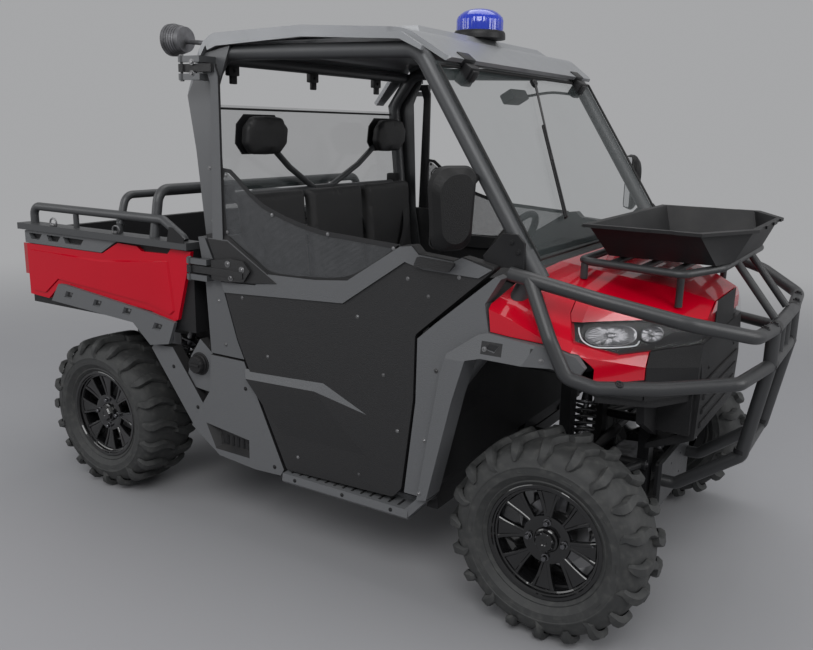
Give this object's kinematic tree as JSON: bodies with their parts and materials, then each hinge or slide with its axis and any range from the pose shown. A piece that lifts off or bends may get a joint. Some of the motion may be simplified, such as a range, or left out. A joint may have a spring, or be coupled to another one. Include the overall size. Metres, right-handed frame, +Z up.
{
  "type": "side by side utility vehicle",
  "caption": "Side by side utility vehicle with a roofed cab, rear-hinged half doors, steering, turning wheels, front guard, hood tray and a tipping cargo bed with a folding tailgate.",
  "frame": {"origin": "on the ground, midway along the overall length, on the centre plane", "axes": "+X forwards, +Y to the vehicle's left, +Z up"},
  "size_m": [3.15, 1.8623, 2.0643],
  "materials": {
    "tyre_rubber": "matte block-tread rubber",
    "rim_black": "gloss black",
    "frame_black": "satin powder coat",
    "cast_grey": "cast, dull",
    "tube_grey": "satin mid grey powder coat",
    "roof_grey": "satin silver grey",
    "clear_glass": "clear",
    "black_plastic": "grained",
    "grey_plastic": "satin",
    "red_gloss": "gloss red",
    "lens_clear": "clear lens",
    "lens_blue": "blue dome",
    "lens_red": "red lens",
    "seat_vinyl": "black vinyl",
    "net_grey": "mesh net",
    "spring_black": "gloss black spring",
    "engine_grey": "rough",
    "steel": "dull steel",
    "mirror_black": "black housing"
  },
  "bodies": {
    "chassis": {"frame": "frame_black", "engine": "engine_grey", "driveline": "cast_grey", "muffler": "steel", "front_suspension_arms": "frame_black", "rear_suspension_arms": "frame_black", "shock_absorbers": "spring_black", "roll_cage": "tube_grey", "roof": "roof_grey", "windscreen": "clear_glass", "rear_window": "clear_glass", "hood": "red_gloss", "front_fenders": "red_gloss", "front_arch_flares": "grey_plastic", "front_fascia": "black_plastic", "headlamps": "lens_clear", "side_sills": "grey_plastic", "quarter_panels": "black_plastic", "cabin_tub": "black_plastic", "dashboard": "black_plastic", "seat_cushions": "seat_vinyl", "seat_backs": "seat_vinyl", "headrests": "seat_vinyl", "mirrors": "mirror_black", "bull_bar": "tube_grey", "hood_rack": "tube_grey", "front_tray": "black_plastic", "beacon": "lens_blue", "work_lamp": "cast_grey"},
    "knuckle_right": {"knuckle_right": "cast_grey"},
    "knuckle_left": {"knuckle_left": "cast_grey"},
    "steering_rack": {"steering_rack": "steel"},
    "steering_wheel": {"steering_wheel": "black_plastic"},
    "door_right": {"door_right": "black_plastic", "door_net_right": "net_grey"},
    "door_left": {"door_left": "black_plastic", "door_net_left": "net_grey"},
    "bed": {"cargo_box": "black_plastic", "bed_side_panels": "red_gloss", "bed_arch_trims": "grey_plastic", "bed_rails": "tube_grey", "tail_lamps": "lens_red"},
    "tailgate": {"tailgate": "black_plastic"},
    "wheel_front_right": {"tyre_front_right": "tyre_rubber", "rim_front_right": "rim_black"},
    "wheel_front_left": {"tyre_front_left": "tyre_rubber", "rim_front_left": "rim_black"},
    "wheel_rear_right": {"tyre_rear_right": "tyre_rubber", "rim_rear_right": "rim_black"},
    "wheel_rear_left": {"tyre_rear_left": "tyre_rubber", "rim_rear_left": "rim_black"}
  },
  "joints": [
    {"name": "steer_left", "type": "hinge", "parent": "chassis", "child": "knuckle_left", "pos_m": [1.029, 0.57, 0.343], "axis": [0, 0, 1], "range_deg": [-25, 25]},
    {"name": "steer_right", "type": "hinge", "parent": "chassis", "child": "knuckle_right", "pos_m": [1.029, -0.57, 0.343], "axis": [0, 0, 1], "range_deg": [-25, 25]},
    {"name": "rack_slide", "type": "slide", "parent": "chassis", "child": "steering_rack", "axis": [0, 1, 0], "range_m": [-0.0437, 0.0437]},
    {"name": "steering_wheel_turn", "type": "hinge", "parent": "chassis", "child": "steering_wheel", "pos_m": [0.36, 0.33, 1.11], "axis": [-0.848, 0, 0.5299], "range_deg": [-250, 250]},
    {"name": "wheel_spin_front_left", "type": "hinge", "parent": "knuckle_left", "child": "wheel_front_left", "pos_m": [1.029, 0.66, 0.343], "axis": [0, 1, 0], "continuous": true},
    {"name": "wheel_spin_front_right", "type": "hinge", "parent": "knuckle_right", "child": "wheel_front_right", "pos_m": [1.029, -0.66, 0.343], "axis": [0, 1, 0], "continuous": true},
    {"name": "wheel_spin_rear_left", "type": "hinge", "parent": "chassis", "child": "wheel_rear_left", "pos_m": [-1.079, 0.63, 0.343], "axis": [0, 1, 0], "continuous": true},
    {"name": "wheel_spin_rear_right", "type": "hinge", "parent": "chassis", "child": "wheel_rear_right", "pos_m": [-1.079, -0.63, 0.343], "axis": [0, 1, 0], "continuous": true},
    {"name": "door_right_swing", "type": "hinge", "parent": "chassis", "child": "door_right", "pos_m": [-0.47, -0.775, 1.07], "axis": [0, 0, -1], "range_deg": [0, 75]},
    {"name": "door_left_swing", "type": "hinge", "parent": "chassis", "child": "door_left", "pos_m": [-0.47, 0.775, 1.07], "axis": [0, 0, 1], "range_deg": [0, 75]},
    {"name": "bed_tilt", "type": "hinge", "parent": "chassis", "child": "bed", "pos_m": [-1.275, 0, 0.74], "axis": [0, -1, 0], "range_deg": [0, 45]},
    {"name": "tailgate_fold", "type": "hinge", "parent": "bed", "child": "tailgate", "pos_m": [-1.554, 0, 0.838], "axis": [0, -1, 0], "range_deg": [0, 90]}
  ],
  "couplings": [
    {"joint": "steer_right", "follows": "steer_left", "ratio": 1},
    {"joint": "rack_slide", "follows": "steer_left", "m_per_rad": -0.1},
    {"joint": "steering_wheel_turn", "follows": "steer_left", "ratio": 10}
  ]
}
